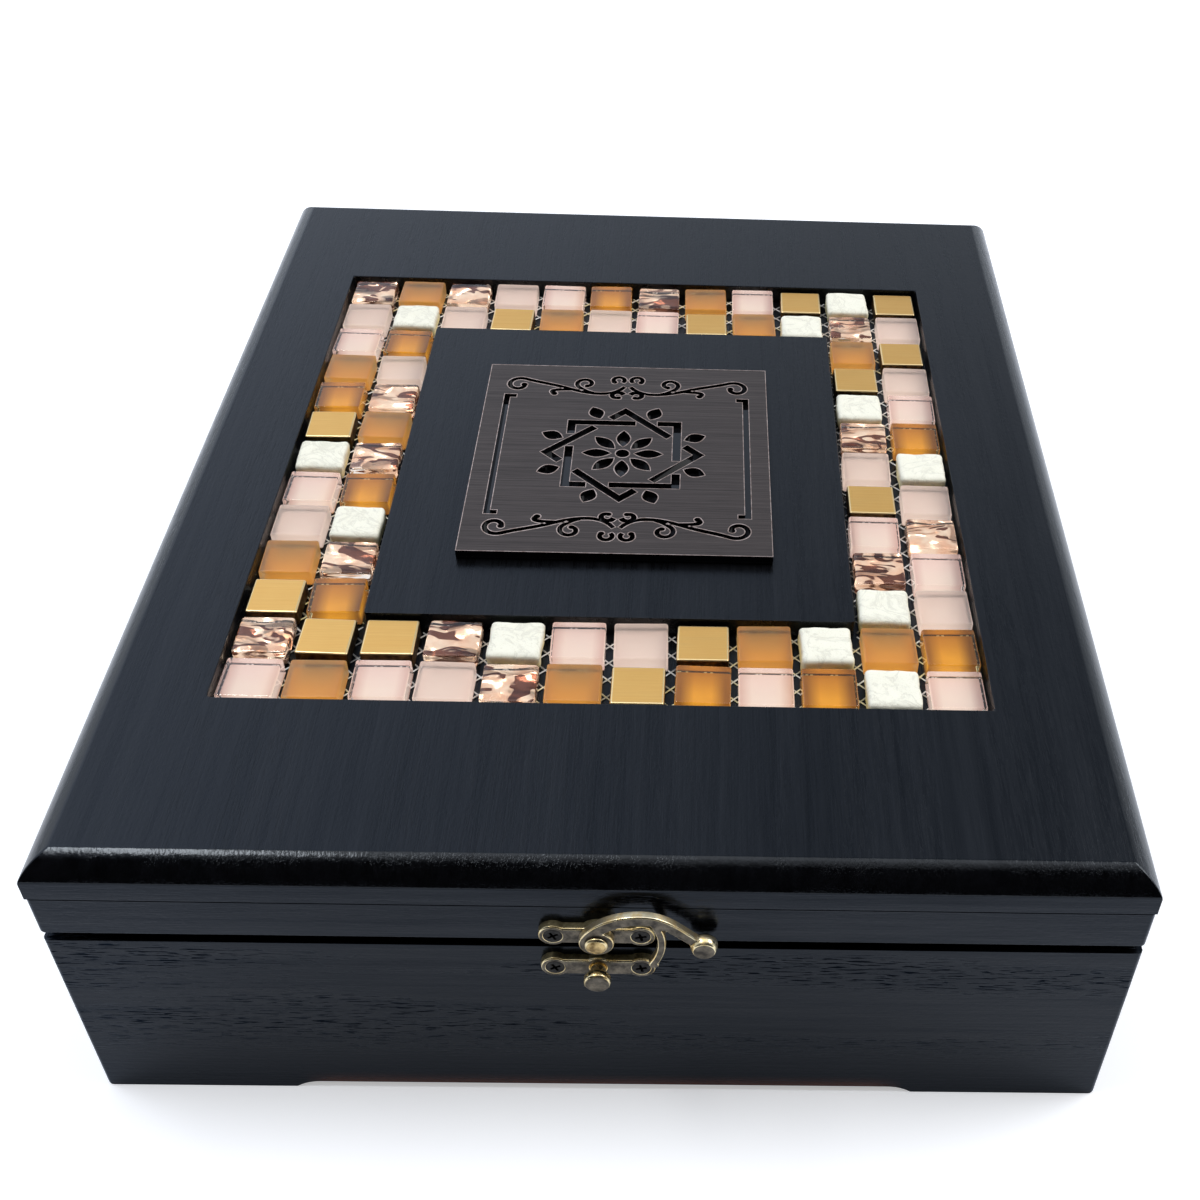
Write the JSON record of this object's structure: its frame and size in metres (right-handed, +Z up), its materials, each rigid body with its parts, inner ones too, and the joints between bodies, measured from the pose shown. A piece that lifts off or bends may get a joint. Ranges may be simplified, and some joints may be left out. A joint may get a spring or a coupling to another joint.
{
  "type": "book box",
  "caption": "Rectangular wooden book box with a hinged lid, glass and stone mosaic border, cut-through plaque and swing-hook latch, for keeping a book.",
  "frame": {"origin": "on the table under the centre of the box", "axes": "+X to the right as seen from the latch, +Y to the hinges at the back, +Z up"},
  "size_m": [0.264, 0.3453, 0.0917],
  "materials": {
    "stained_wood": "satin black stain, open grain",
    "bottom_board": "plain dark board",
    "felt": "wine red felt",
    "bumper_felt": "black felt",
    "net": "white glass-fibre net",
    "rose_foil_glass": "rippled, foil-backed",
    "frosted_pink_glass": "frosted",
    "clear_pink_glass": "clear over pale backing",
    "frosted_amber_glass": "frosted",
    "clear_amber_glass": "clear over pale backing",
    "chip_brass": "brushed",
    "marble": "tumbled white stone",
    "gloss_backing": "gloss black",
    "brushed_bronze": "brushed dark bronze",
    "antique_brass": "antiqued, bright on the edges",
    "dark_screws": "blackened",
    "hinge_brass": "satin"
  },
  "bodies": {
    "box": {"front_wall": "stained_wood", "back_wall": "stained_wood", "left_wall": "stained_wood", "right_wall": "stained_wood", "bottom_panel": "bottom_board", "base_lining": "felt", "lid_bumpers": "bumper_felt", "catch_plate": "antique_brass", "catch_knob": "antique_brass", "latch_screws_box": "dark_screws", "left_hinge_box_leaf": "hinge_brass", "right_hinge_box_leaf": "hinge_brass", "left_hinge_pin": "hinge_brass", "right_hinge_pin": "hinge_brass", "hinge_screws_box": "hinge_brass"},
    "lid": {"lid_panel": "stained_wood", "lid_front_rail": "stained_wood", "lid_back_rail": "stained_wood", "lid_left_rail": "stained_wood", "lid_right_rail": "stained_wood", "mosaic_net": "net", "chips_rose_foil": "rose_foil_glass", "chips_frosted_pink": "frosted_pink_glass", "chips_clear_pink": "clear_pink_glass", "chips_frosted_amber": "frosted_amber_glass", "chips_clear_amber": "clear_amber_glass", "chips_brass": "chip_brass", "chips_marble": "marble", "plaque_backing": "gloss_backing", "plaque_face": "brushed_bronze", "hook_plate": "antique_brass", "hook_rivet": "antique_brass", "latch_screws_lid": "dark_screws", "left_hinge_lid_leaf": "hinge_brass", "right_hinge_lid_leaf": "hinge_brass", "hinge_screws_lid": "hinge_brass"},
    "hook": {"swing_hook": "antique_brass"}
  },
  "joints": [
    {"name": "lid_hinge", "type": "hinge", "parent": "box", "child": "lid", "pos_m": [0, 0.1693, 0.0635], "axis": [-1, 0, 0], "range_deg": [0, 95]},
    {"name": "hook_swing", "type": "hinge", "parent": "lid", "child": "hook", "pos_m": [-0.0003, -0.1689, 0.0689], "axis": [0, 1, 0], "range_deg": [-180, 100]}
  ]
}
